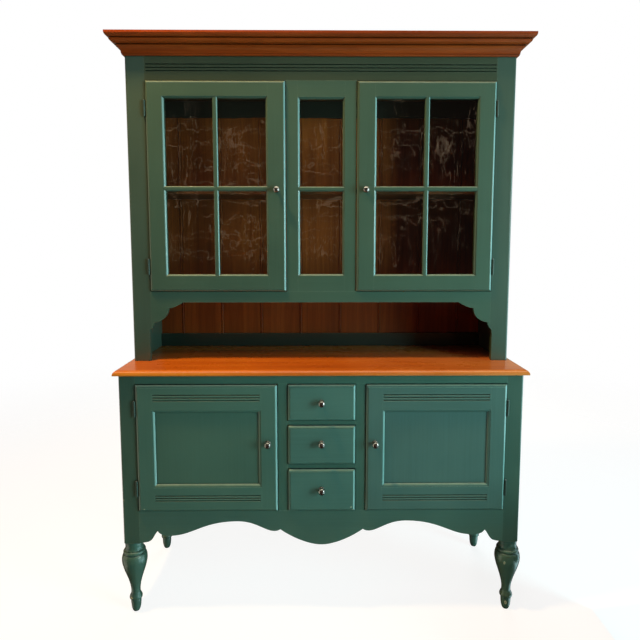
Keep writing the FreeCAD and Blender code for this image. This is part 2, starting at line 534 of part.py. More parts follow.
cut_side = Part.Face(Part.makePolygon([V(UP_HALF, UP_FACE, 1900), V(UP_HALF, UP_BACK, 1900),
                                       V(UP_HALF + 90, UP_BACK, 1900), V(UP_HALF + 90, UP_FACE - 90, 1900),
                                       V(UP_HALF, UP_FACE, 1900)])).extrude(V(0, 0, 300))
side_c = side_c.common(cut_side)
add("cornice", front_c, both(side_c))

# fixed centre light, flush with the frame: stiles, rails and one glazing bar
y_sash = UP_FACE
pieces, sash = moulded_frame(-SASH_HALF, SASH_HALF, UP_OPEN_LO, UP_OPEN_HI, y_sash, y_sash + FRAME_T,
                             SASH_HALF - SASH_SIGHT, SASH_HALF - SASH_SIGHT, SASH_RAIL_LO, SASH_RAIL_HI, 0.0, STICK,
                             rabbet=(8.0, y_sash + 11.0))
gz0, gz1 = UP_OPEN_LO + SASH_RAIL_LO, UP_OPEN_HI - SASH_RAIL_HI
bar = bar_shape(-SASH_SIGHT - STICK, SASH_SIGHT + STICK, BARS_Z - BAR_W / 2, BARS_Z + BAR_W / 2,
                y_sash + 1.2, y_sash + 11.0, 6.0).cut(sash)
add("centre_sash", pieces, bar)
add("centre_sash_glass", box(-SASH_SIGHT - 8.0, SASH_SIGHT + 8.0, y_sash + 11.0, y_sash + 14.0, gz0 - 8.0, gz1 + 8.0))


def glazing_stops(x0, x1, z0, z1, y0, y1, w):
    """Four mitred strips that hold a pane in its rabbet, outer box x0..x1."""
    ring = box(x0, x1, y0, y1, z0, z1).cut(box(x0 + w, x1 - w, y0 - 1, y1 + 1, z0 + w, z1 - w))
    out = []
    for pts in ([(x0, z0), (x0 + w, z0 + w), (x0 + w, z1 - w), (x0, z1)],
                [(x1, z0), (x1 - w, z0 + w), (x1 - w, z1 - w), (x1, z1)],
                [(x0, z0), (x0 + w, z0 + w), (x1 - w, z0 + w), (x1, z0)],
                [(x0, z1), (x0 + w, z1 - w), (x1 - w, z1 - w), (x1, z1)]):
        out.append(ring.common(prism_xz(pts, y0 - 1, y1 + 1)))
    return out


add("centre_sash", glazing_stops(-SASH_SIGHT - 8.0, SASH_SIGHT + 8.0, gz0 - 8.0, gz1 + 8.0,
                                 y_sash + 14.0, y_sash + 19.0, 8.0))

# brackets that tie the upper case to the worktop, behind the back boards
tie = box(430.0, 470.0, 442.0, 470.0, TOP_UPPER, TOP_UPPER + 2.0).fuse(
    box(430.0, 470.0, 442.0, 444.0, TOP_UPPER, TOP_UPPER + 45.0)).removeSplitter()
add("tie_brackets", both(tie))

# spring catches that hold the doors shut
catch_low = box(146.0, 172.0, FRAME_T, 36.0, 700.0, 728.0).fuse(box(MULL_OUT, 172.0, 12.4, FRAME_T, 700.0, 728.0))
catch_high = box(134.0, 160.0, UP_FACE + 12.4, UP_FACE + 36.0, 1908.0, UP_OPEN_HI)
add("door_catches", both(catch_low.removeSplitter()), both(catch_high))

# ---------------------------------------------------------------------- doors
for side_n, sx in (("right", 1), ("left", -1)):
    # panelled base doors
    name = f"base_{side_n}_door"
    yf, yb = -PROUD, -PROUD + DOOR_T
    gy0, gy1 = yf + 9.5, yf + 15.5
    pieces, fr = moulded_frame(BDOOR_IN, BDOOR_OUT, BDOOR_LO, BDOOR_HI, yf, yb, BDOOR_STILE, BDOOR_STILE,
                               BDOOR_RAIL, BDOOR_RAIL, LIP, BDOOR_STICK, groove=(8.0, gy0, gy1),
                               flute=((FLUTE_LO, 9.0), (FLUTE_HI, 9.8)))
    panel = box(BDOOR_IN + BDOOR_STILE - 8.0, BDOOR_OUT - BDOOR_STILE + 8.0, gy0, gy1,
                BDOOR_LO + BDOOR_RAIL - 8.0, BDOOR_HI - BDOOR_RAIL + 8.0)
    kx, kz = BDOOR_IN + BDOOR_STILE / 2 - 1.0, BKNOB_Z
    knob, kscrew = ball_knob(kx, yf, kz), knob_screw(kx, yf, kz, DOOR_T)
    if sx < 0:
        pieces, panel, knob, kscrew = [mirrored(p) for p in pieces], mirrored(panel), mirrored(knob), mirrored(kscrew)
    leaves, screws = door_leaves[name]
    pieces = [cut_all(p, screws + [kscrew]) for p in pieces]
    add(name + "_frame", pieces)
    add(name + "_panel", panel)
    add(name + "_knob", knob, kscrew)
    add(name + "_hinge_leaves", leaves, screws)
    # glazed upper doors
    name = f"upper_{side_n}_door"
    yf, yb = UP_FACE - PROUD, UP_FACE - PROUD + DOOR_T
    pieces, fr = moulded_frame(UDOOR_IN, UDOOR_OUT, UDOOR_LO, UDOOR_HI, yf, yb, USTILE_IN, USTILE_OUT,
                               URAIL_LO, URAIL_HI, LIP - 1.0, STICK, rabbet=(8.0, yf + 11.0))
    gx0, gx1 = UDOOR_IN + USTILE_IN, UDOOR_OUT - USTILE_OUT
    gz0, gz1 = UDOOR_LO + URAIL_LO, UDOOR_HI - URAIL_HI
    xm = (gx0 + gx1) / 2
    upright = bar_shape(xm - BAR_W / 2, xm + BAR_W / 2, gz0 - STICK, gz1 + STICK, yf + 1.2, yf + 11.0, 6.0).cut(fr)
    cross = bar_shape(gx0 - STICK, gx1 + STICK, BARS_Z - BAR_W / 2, BARS_Z + BAR_W / 2, yf + 1.2, yf + 11.0, 6.0).cut(fr)
    cross = cross.cut(upright)
    bars = list(upright.Solids) + [s for s in cross.Solids if s.Volume > 1000.0]
    pane = box(gx0 - 8.0, gx1 + 8.0, yf + 11.0, yf + 14.0, gz0 - 8.0, gz1 + 8.0)
    stops = glazing_stops(gx0 - 8.0, gx1 + 8.0, gz0 - 8.0, gz1 + 8.0, yf + 14.0, yf + 21.0, 8.0)
    kx, kz = UKNOB_X, UKNOB_Z
    knob, kscrew = ball_knob(kx, yf, kz), knob_screw(kx, yf, kz, DOOR_T)
    if sx < 0:
        pieces, bars, stops = [mirrored(p) for p in pieces], [mirrored(p) for p in bars], [mirrored(p) for p in stops]
        pane, knob, kscrew = mirrored(pane), mirrored(knob), mirrored(kscrew)
    leaves, screws = door_leaves[name]
    pieces = [cut_all(p, screws + [kscrew]) for p in pieces]
    add(name + "_frame", pieces, stops)
    add(name + "_muntins", bars)
    add(name + "_glass", pane)
    add(name + "_knob", knob, kscrew)
    add(name + "_hinge_leaves", leaves, screws)

# -------------------------------------------------------------------- drawers
for name, (f0, f1, o0, o1, b0, b1) in DRAWERS.items():
    yf, yb = -PROUD, -PROUD + DOOR_T
    fr = lipped_board(-DRAWER_HALF, DRAWER_HALF, yf, yb, f0, f1, LIP, 12.0, outer=5.0)
    kz = (f0 + f1) / 2 + KNOB_LIFT[name]
    knob, kscrew = ball_knob(0.0, yf, kz), knob_screw(0.0, yf, kz, DOOR_T)
    add(name + "_front", fr.cut(kscrew))
    add(name + "_knob", knob, kscrew)
    w, t = DBOX_HALF, DBOX_T
    add(name + "_box", both(box(w - t, w, yb, DBOX_BACK, b0, b1)),
        box(-w + t, w - t, DBOX_BACK - t, DBOX_BACK, b0 + 12.0, b1 - 6.0),
        box(-w + t, w - t, yb, DBOX_BACK, b0 + 6.0, b0 + 12.0))

# ----------------------------------------------------------------- write files
for name, solids in nodes.items():
    out = []
    for s in solids:
        s = s.copy()
        s.translate(V(0, Y_SHIFT, -GROUND))
        out.append(s)
    shape = out[0] if len(out) == 1 else Part.makeCompound(out)
    shape.exportStep(f"parts/{name}.step")
    bb = shape.BoundBox
    print(f"{name:34s} solids {len(out):3d} vol {shape.Volume / 1e3:10.1f} cm3 "
          f"x {bb.XMin:8.1f} {bb.XMax:8.1f} y {bb.YMin:8.1f} {bb.YMax:8.1f} z {bb.ZMin:8.1f} {bb.ZMax:8.1f}")
print(len(nodes), "nodes; shift", Y_SHIFT)
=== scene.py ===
import math
import bpy
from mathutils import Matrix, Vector, noise


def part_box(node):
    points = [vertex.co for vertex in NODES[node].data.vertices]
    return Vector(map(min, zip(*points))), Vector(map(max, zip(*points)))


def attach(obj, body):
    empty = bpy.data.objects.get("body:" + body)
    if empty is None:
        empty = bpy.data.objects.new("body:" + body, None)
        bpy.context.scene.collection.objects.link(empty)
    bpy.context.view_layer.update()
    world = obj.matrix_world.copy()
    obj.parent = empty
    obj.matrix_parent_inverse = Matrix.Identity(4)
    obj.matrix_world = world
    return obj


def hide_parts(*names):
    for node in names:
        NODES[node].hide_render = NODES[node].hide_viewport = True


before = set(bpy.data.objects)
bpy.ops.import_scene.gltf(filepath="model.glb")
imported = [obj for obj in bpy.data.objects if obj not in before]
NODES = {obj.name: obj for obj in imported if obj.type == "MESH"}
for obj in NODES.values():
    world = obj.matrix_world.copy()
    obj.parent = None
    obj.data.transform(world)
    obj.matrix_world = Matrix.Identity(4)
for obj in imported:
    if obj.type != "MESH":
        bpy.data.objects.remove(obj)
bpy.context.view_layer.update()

# ------------------------------------------------------------------- camera
cam_data = bpy.data.cameras.new("camera")
cam = bpy.data.objects.new("camera", cam_data)
bpy.context.scene.collection.objects.link(cam)
cam_data.sensor_width = 36.0
cam_data.lens = 521.2 / 640.0 * 36.0
cam_data.shift_x = 0.5 - 321.23 / 640.0
cam_data.shift_y = -(0.5 - 289.25 / 640.0)
cam_data.clip_start = 0.05
cam_data.clip_end = 60.0
cam.location = (-0.0175, -2.0012, 1.3558)
cam.rotation_euler = (math.radians(90.0 - 5.308), 0.0, math.radians(-0.519))
bpy.context.scene.camera = cam


# ------------------------------------------------------------ material tools
class Mat:
    """Small helper that builds one node material."""

    def __init__(self, name):
        self.m = bpy.data.materials.new(name)
        self.m.use_nodes = True
        self.t = self.m.node_tree
        self.t.nodes.clear()
        self.out = self.t.nodes.new("ShaderNodeOutputMaterial")
        self.P = self.n("ShaderNodeTexCoord").outputs["Object"]

    def n(self, kind, **kw):
        node = self.t.nodes.new(kind)
        for k, v in kw.items():
            setattr(node, k, v)
        return node

    def put(self, sock, v):
        if isinstance(v, bpy.types.NodeSocket):
            self.t.links.new(v, sock)
        elif v is not None:
            if isinstance(v, (tuple, list)) and sock.type == "RGBA" and len(v) == 3:
                v = (*v, 1.0)
            sock.default_value = v

    def math(self, op, a, b=None, c=None, clamp=False):
        node = self.n("ShaderNodeMath", operation=op, use_clamp=clamp)
        for s, v in zip(node.inputs, (a, b, c)):
            self.put(s, v)
        return node.outputs[0]

    def vmath(self, op, a, b=None, scale=None):
        node = self.n("ShaderNodeVectorMath", operation=op)
        self.put(node.inputs[0], a)
        if b is not None:
            self.put(node.inputs[1], b)
        if scale is not None:
            self.put(node.inputs["Scale"], scale)
        return node.outputs["Value"] if op in ("DOT_PRODUCT", "LENGTH") else node.outputs["Vector"]

    def mix(self, f, a, b, blend="MIX"):
        node = self.n("ShaderNodeMix", data_type="RGBA", blend_type=blend)
        self.put(node.inputs[0], f)
        self.put(node.inputs[6], a)
        self.put(node.inputs[7], b)
        return node.outputs[2]

    def mixv(self, f, a, b):
        node = self.n("ShaderNodeMix", data_type="VECTOR")
        self.put(node.inputs[0], f)
        self.put(node.inputs[4], a)
        self.put(node.inputs[5], b)
        return node.outputs[1]

    def sep(self, v):
        node = self.n("ShaderNodeSeparateXYZ")
        self.put(node.inputs[0], v)
        return node.outputs

    def comb(self, x, y, z):
        node = self.n("ShaderNodeCombineXYZ")
        for s, v in zip(node.inputs, (x, y, z)):
            self.put(s, v)
        return node.outputs[0]

    def scaled(self, v, s):
        return self.vmath("MULTIPLY", v, s)

    def noise(self, vec, scale=1.0, detail=3.0, rough=0.5, dist=0.0, colour=False):
        node = self.n("ShaderNodeTexNoise")
        self.put(node.inputs["Vector"], vec)
        node.inputs["Scale"].default_value = scale
        node.inputs["Detail"].default_value = detail
        node.inputs["Roughness"].default_value = rough
        node.inputs["Distortion"].default_value = dist
        return node.outputs["Color" if colour else "Fac"]

    def ramp(self, f, stops, interp="LINEAR"):
        node = self.n("ShaderNodeValToRGB")
        node.color_ramp.interpolation = interp
        el = node.color_ramp.elements
        while len(el) > 1:
            el.remove(el[-1])
        for i, (p, c) in enumerate(stops):
            e = el[0] if i == 0 else el.new(p)
            e.position = p
            e.color = (*c, 1.0) if isinstance(c, (tuple, list)) else (c, c, c, 1.0)
        self.put(node.inputs[0], f)
        return node.outputs["Color"]

    def range(self, v, a, b, c=0.0, d=1.0, smooth=False):
        node = self.n("ShaderNodeMapRange", interpolation_type="SMOOTHSTEP" if smooth else "LINEAR")
        for s, x in zip(node.inputs, (v, a, b, c, d)):
            self.put(s, x)
        return node.outputs[0]

    def bump(self, height, distance, strength=1.0, normal=None):
        node = self.n("ShaderNodeBump")
        node.inputs["Strength"].default_value = strength
        node.inputs["Distance"].default_value = distance
        self.put(node.inputs["Height"], height)
        if normal is not None:
            self.put(node.inputs["Normal"], normal)
        return node.outputs[0]

    def edge(self, radius):
        """0 on flat ground, rising to about 0.3 on a sharp edge."""
        bev = self.n("ShaderNodeBevel", samples=4)
        bev.inputs["Radius"].default_value = radius
        geo = self.n("ShaderNodeNewGeometry")
        d = self.vmath("DOT_PRODUCT", bev.outputs["Normal"], geo.outputs["Normal"])
        return self.math("SUBTRACT", 1.0, d)

    def cavity(self, distance):
        """1 on open ground and on outer edges, falling towards 0 inside grooves and gaps."""
        ao = self.n("ShaderNodeAmbientOcclusion", samples=4)
        ao.inputs["Distance"].default_value = distance
        return ao.outputs["AO"]

    def principled(self, **kw):
        node = self.n("ShaderNodeBsdfPrincipled")
        for k, v in kw.items():
            self.put(node.inputs[k.replace("_", " ")], v)
        self.t.links.new(node.outputs[0], self.out.inputs["Surface"])
        return node


def along(m, grain):
    """Vector with the grain direction as its third component.
    grain: 'X', 'Y', 'Z', or ('frame', centre, inner) for stiles beyond inner and rails within it,
    or ('bars', centre, half) for an upright within half and cross bars outside it."""
    s = m.sep(m.P)
    vz = m.P
    vx = m.comb(s[1], s[2], s[0])
    vy = m.comb(s[0], s[2], s[1])
    if grain == "Z":
        return vz
    if grain == "X":
        return vx
    if grain == "Y":
        return vy
    kind, centre, half = grain
    d = m.math("ABSOLUTE", m.math("SUBTRACT", s[0], 0.0 if kind == "mitre" else centre))
    if kind == "frame":
        return m.mixv(m.math("GREATER_THAN", d, half), vx, vz)
    if kind == "bars":
        return m.mixv(m.math("LESS_THAN", d, half), vx, vz)
    if kind == "sides":      # beyond half from the middle the pieces run front to back
        return m.mixv(m.math("GREATER_THAN", d, half), vx, vy)
    if kind == "mitre":      # front run along X, returns along Y, split at the mitre
        yf = half
        px = m.math("SUBTRACT", d, centre)
        py = m.math("SUBTRACT", yf, s[1])
        return m.mixv(m.math("GREATER_THAN", px, py), vx, vy)
    raise ValueError(grain)


PAINT_DEEP = (0.042, 0.074, 0.052)
PAINT_LIGHT = (0.058, 0.098, 0.069)
CHIP = (0.46, 0.43, 0.31)


# painted light: a brighter, bluer copy of the green paint, for pieces the window light falls on
LIT_TINT = (1.04, 1.15, 1.20)


def paint(name, grain, wear=1.0, chips=(), rough=0.30, tint=(1.0, 1.0, 1.0), groove_highlight=0.0, arris=1.0):
    """Satin green paint over primer: soft clouds, brush marks along each member, thinned and rubbed arrises,
    painted shade in grooves and gaps, painted highlights on arrises, and small chips given as (x, y, z, half width,
    half height) in metres."""
    m = Mat(name)
    g = along(m, grain)
    cloud = m.noise(m.P, 2.1, 3, 0.55)
    patch = m.noise(m.P, 8.0, 3, 0.5)
    streak = m.noise(m.scaled(g, (170.0, 170.0, 3.2)), 1.0, 4, 0.6)
    fibre = m.noise(m.scaled(g, (640.0, 640.0, 14.0)), 1.0, 3, 0.6)
    def shade(*c):
        return tuple(a * b for a, b in zip(c, tint))

    deep, light = shade(*PAINT_DEEP), shade(*PAINT_LIGHT)
    col = m.mix(m.range(cloud, 0.32, 0.68), deep, light)
    col = m.mix(m.range(patch, 0.38, 0.72, 0.0, 0.30), col, shade(0.062, 0.094, 0.062))
    col = m.mix(m.range(streak, 0.34, 0.70, 0.0, 0.28), col, shade(0.066, 0.112, 0.082))
    bev = m.n("ShaderNodeBevel", samples=4)
    bev.inputs["Radius"].default_value = 0.0020
    geo = m.n("ShaderNodeNewGeometry")
    e = m.math("SUBTRACT", 1.0, m.vmath("DOT_PRODUCT", bev.outputs["Normal"], geo.outputs["Normal"]))
    rag = m.noise(m.P, 38.0, 5, 0.65)
    fine = m.noise(m.P, 280.0, 3, 0.6)
    spread = m.noise(m.P, 4.5, 2, 0.5)
    need = m.math("SUBTRACT", 0.300, m.math("MULTIPLY", m.math("SUBTRACT", rag, 0.5), 0.34))
    need = m.math("SUBTRACT", need, m.math("MULTIPLY", m.math("SUBTRACT", spread, 0.5), 0.46))
    need = m.math("SUBTRACT", need, m.math("MULTIPLY", m.math("SUBTRACT", fine, 0.5), 0.14))
    need = m.math("MAXIMUM", need, 0.11)
    hollow = m.cavity(0.006)
    out = m.range(hollow, 0.72, 0.92, 0.0, 1.0, smooth=True)
    rub = m.math("MULTIPLY", m.range(e, need, m.math("ADD", need, 0.06), 0.0, wear, smooth=True), out)
    thin = m.math("MULTIPLY", m.range(e, 0.06, 0.26, 0.0, 0.45 * wear, smooth=True), out)
    col = m.mix(thin, col, shade(0.100, 0.140, 0.100))
    col = m.mix(m.math("MULTIPLY", rub, 0.62), col, m.mix(m.range(fine, 0.40, 0.62), (0.36, 0.40, 0.29), (0.17, 0.20, 0.12)))
    # painted shade: the colour falls to near black inside grooves, gaps and recesses, by ambient occlusion
    col = m.mix(m.range(hollow, 0.36, 0.90, 0.86, 0.0, smooth=True), col, (0.003, 0.006, 0.004))
    # painted highlights: rounded arrises facing right are painted a lighter cyan and upward ones a paler green, for
    # the window and ceiling light they catch; the upward ones are broken up by noise like rubbed paint
    on = m.sep(m.n("ShaderNodeTexCoord").outputs["Normal"])
    facing = m.math("MULTIPLY", on[1], -1.0)
    slant = m.math("MULTIPLY", m.range(facing, 0.25, 0.45, smooth=True), m.range(facing, 0.90, 0.97, 1.0, 0.0, smooth=True))
    right_arris_highlight = m.math("MULTIPLY", m.math("MULTIPLY", m.range(on[0], 0.18, 0.45, smooth=True), slant), 0.85 * arris)
    up_arris_highlight = m.math("MULTIPLY", m.math("MULTIPLY", m.range(on[2], 0.22, 0.50, smooth=True), slant),
                     m.range(rag, 0.35, 0.60, 0.45 * arris, 0.80 * arris))
    open_air = m.range(hollow, 0.58, 0.82, smooth=True)
    col = m.mix(m.math("MULTIPLY", right_arris_highlight, open_air), col, (0.24, 0.35, 0.325))
    col = m.mix(m.math("MULTIPLY", up_arris_highlight, open_air), col, (0.165, 0.205, 0.150))
    if groove_highlight:       # painted highlight along the upward arris under each groove
        groove_highlight_mask = m.range(m.sep(bev.outputs["Normal"])[2], 0.08, 0.40, 0.0, groove_highlight, smooth=True)
        flat = m.range(m.sep(geo.outputs["Normal"])[2], 0.02, 0.10, 1.0, 0.0)
        col = m.mix(m.math("MULTIPLY", groove_highlight_mask, flat), col, (0.34, 0.44, 0.32))
    r = m.math("ADD", rough, m.range(patch, 0.3, 0.7, -0.010, 0.020))
    r = m.math("ADD", r, m.math("MULTIPLY", rub, 0.2))
    h = m.math("ADD", m.math("MULTIPLY", streak, 0.85), m.math("MULTIPLY", fibre, 0.15))
    worn = m.math("MULTIPLY", rub, 1.0)
    if chips:
        wob = m.vmath("SCALE", m.vmath("SUBTRACT", m.noise(m.P, 150.0, 3, 0.6, colour=True), (0.5, 0.5, 0.5)), scale=0.006)
        q = m.vmath("ADD", m.P, wob)
        best = None
        for x, y, z, hx, hz in chips:
            d = m.vmath("LENGTH", m.vmath("MULTIPLY", m.vmath("SUBTRACT", q, (x, y, z)),
                                          (1.0 / hx, 1.0 / max(hx, 0.004), 1.0 / hz)))
            best = d if best is None else m.math("MINIMUM", best, d)
        chip = m.range(best, 0.85, 1.0, 1.0, 0.0, smooth=True)
        col = m.mix(chip, col, m.mix(m.range(best, 0.25, 0.75), (0.26, 0.19, 0.10), CHIP))
        worn = m.math("MAXIMUM", worn, chip)
        r = m.math("ADD", r, m.math("MULTIPLY", chip, 0.25))
    nrm = m.bump(h, 0.00004, 0.15)
    nrm = m.bump(m.math("MULTIPLY", worn, -1.0), 0.00012, 0.3, nrm)
    m.principled(Base_Color=col, Roughness=r, Normal=nrm, Specular_IOR_Level=0.5, Coat_Weight=0.25,
                 Coat_Roughness=0.16)
    return m.m


def wood(name, grain, dark, mid, light, rough=0.4, coat=0.0, coat_rough=0.1, figure=0.5, pores=0.5, board=None,
         edge_dark=0.35, bump=0.5, rings=58.0, spec=0.5, cavity_shade=0.0, painted_light_above=None, painted_sheen=None, dull_top=1.0):
    """Stained board with a flame figure, pores and slightly darker edges."""
    m = Mat(name)
    g = along(m, grain)
    s = m.sep(g)
    if board:
        x0, pitch, spread = board
        idx = m.math("FLOOR", m.math("DIVIDE", m.math("SUBTRACT", m.sep(m.P)[0], x0), pitch))
        wn = m.n("ShaderNodeTexWhiteNoise", noise_dimensions="1D")
        m.put(wn.inputs["W"], idx)
        tone = wn.outputs["Value"]
        off = m.vmath("SCALE", wn.outputs["Color"], scale=7.0)
        gg = m.vmath("ADD", g, off)
    else:
        tone, spread, gg = None, 0.0, g
    warp = m.noise(m.scaled(gg, (3.0, 3.0, 0.9)), 1.0, 2, 0.5, colour=True)
    warp2 = m.vmath("SCALE", m.vmath("SUBTRACT", warp, (0.5, 0.5, 0.5)), scale=0.20)
    ws = m.sep(m.vmath("ADD", gg, warp2))
    ring = m.math("MULTIPLY", m.math("ADD", ws[0], m.math("MULTIPLY", ws[1], 0.9)), rings)
    saw = m.math("FRACT", ring)
    band = m.math("MULTIPLY", m.math("POWER", saw, 2.0), m.range(saw, 0.90, 1.0, 1.0, 0.0))
    broad = m.noise(m.scaled(gg, (16.0, 16.0, 0.8)), 1.0, 3, 0.5)
    streak = m.noise(m.scaled(gg, (95.0, 95.0, 2.2)), 1.0, 4, 0.6)
    fine = m.noise(m.scaled(gg, (480.0, 480.0, 11.0)), 1.0, 3, 0.6)
    cloud = m.noise(m.P, 3.1, 3, 0.5)
    f = m.math("ADD", m.math("MULTIPLY", broad, 0.46), m.math("MULTIPLY", streak, 0.32))
    f = m.math("ADD", f, m.math("MULTIPLY", cloud, 0.22))
    col = m.ramp(f, [(0.34, dark), (0.50, mid), (0.66, light)])
    col = m.mix(m.math("MULTIPLY", band, figure), col, dark)
    col = m.mix(m.range(fine, 0.54, 0.74, 0.0, pores), col, tuple(c * 0.45 for c in dark))
    if tone is not None:
        k = m.range(tone, 0.0, 1.0, 1.0 - spread, 1.0 + spread)
        col = m.mix(1.0, col, m.comb(k, k, k), blend="MULTIPLY")
    if dull_top < 1.0:          # dusty, unpolished upper surface
        k = m.range(m.sep(m.n("ShaderNodeTexCoord").outputs["Normal"])[2], 0.75, 0.95, 1.0, dull_top, smooth=True)
        col = m.mix(1.0, col, m.comb(k, k, k), blend="MULTIPLY")
    if painted_light_above is not None:        # painted light: boards brighter and stronger in colour above this height, for light inside the glazed case
        k = m.range(m.sep(m.P)[2], painted_light_above, painted_light_above + 0.16, 1.0, 2.5, smooth=True)
        col = m.mix(1.0, col, m.comb(k, k, k), blend="MULTIPLY")
    if painted_sheen is not None:       # painted sheen: paler colour towards the right-hand end, for the window's reflection
        k = m.math("ADD", m.range(m.sep(m.P)[0], 0.0, 0.60, 0.0, 0.16, smooth=True), m.range(cloud, 0.3, 0.7, -0.10, 0.10))
        col = m.mix(m.math("MULTIPLY", m.math("MAXIMUM", k, 0.0), m.range(m.sep(m.P)[0], -0.25, 0.10, 0.0, 1.0)), col, painted_sheen)
    if edge_dark > 0:
        e = m.edge(0.003)
        col = m.mix(m.range(e, 0.05, 0.28, 0.0, edge_dark, smooth=True), col, tuple(c * 0.4 for c in dark))
    # painted shade: the wood colour darkens inside grooves and recesses, by ambient occlusion
    if cavity_shade > 0:
        col = m.mix(m.range(m.cavity(0.006), 0.35, 0.85, cavity_shade, 0.0, smooth=True), col, (0.010, 0.002, 0.001))
    r = m.math("ADD", rough, m.range(m.noise(m.P, 8.0, 4, 0.6), 0.3, 0.7, -0.04, 0.06))
    r = m.math("ADD", r, m.range(fine, 0.5, 0.8, 0.0, 0.08))
    h = m.math("ADD", m.math("MULTIPLY", fine, 0.5), m.math("MULTIPLY", streak, 0.5))
    nrm = m.bump(h, 0.00010, bump)
    m.principled(Base_Color=col, Roughness=r, Normal=nrm, Coat_Weight=coat, Coat_Roughness=coat_rough,
                 Specular_IOR_Level=spec)
    return m.m


def metal(name, base, high, rough, wear=0.5):
    m = Mat(name)
    tarnish = m.noise(m.P, 210.0, 5, 0.65)
    spots = m.noise(m.P, 900.0, 3, 0.6)
    s = m.sep(m.n("ShaderNodeTexCoord").outputs["Normal"])
    front = m.range(m.math("MULTIPLY", s[1], -1.0), 0.55, 1.0, 0.0, wear, smooth=True)
    col = m.mix(m.range(tarnish, 0.38, 0.62, 0.0, 0.8), base, tuple(c * 0.45 for c in base))
    col = m.mix(m.math("MULTIPLY", front, m.range(tarnish, 0.35, 0.65, 1.0, 0.45)), col, high)
    r = m.math("ADD", rough, m.range(tarnish, 0.3, 0.7, -0.06, 0.12))
    nrm = m.bump(m.math("ADD", m.math("MULTIPLY", tarnish, 0.6), m.math("MULTIPLY", spots, 0.4)), 0.00008, 0.5)
    m.principled(Base_Color=col, Metallic=1.0, Roughness=r, Normal=nrm)
    return m.m


def glass(name):
    m = Mat(name)
    streaks = m.noise(m.scaled(m.P, (16.0, 16.0, 5.0)), 1.0, 2, 0.5)
    nrm = m.bump(streaks, 0.0012, 0.35)
    p = m.n("ShaderNodeBsdfPrincipled")
    p.inputs["Base Color"].default_value = (0.93, 0.97, 0.955, 1.0)
    p.inputs["Roughness"].default_value = 0.0
    p.inputs["IOR"].default_value = 1.48
    p.inputs["Transmission Weight"].default_value = 1.0
    m.t.links.new(nrm, p.inputs["Normal"])
    clear = m.n("ShaderNodeBsdfTransparent")
    clear.inputs["Color"].default_value = (0.90, 0.94, 0.92, 1.0)
    path = m.n("ShaderNodeLightPath")
    mix = m.n("ShaderNodeMixShader")
    m.t.links.new(path.outputs["Is Shadow Ray"], mix.inputs[0])
    m.t.links.new(p.outputs[0], mix.inputs[1])
    m.t.links.new(clear.outputs[0], mix.inputs[2])
    m.t.links.new(mix.outputs[0], m.out.inputs["Surface"])
    return m.m


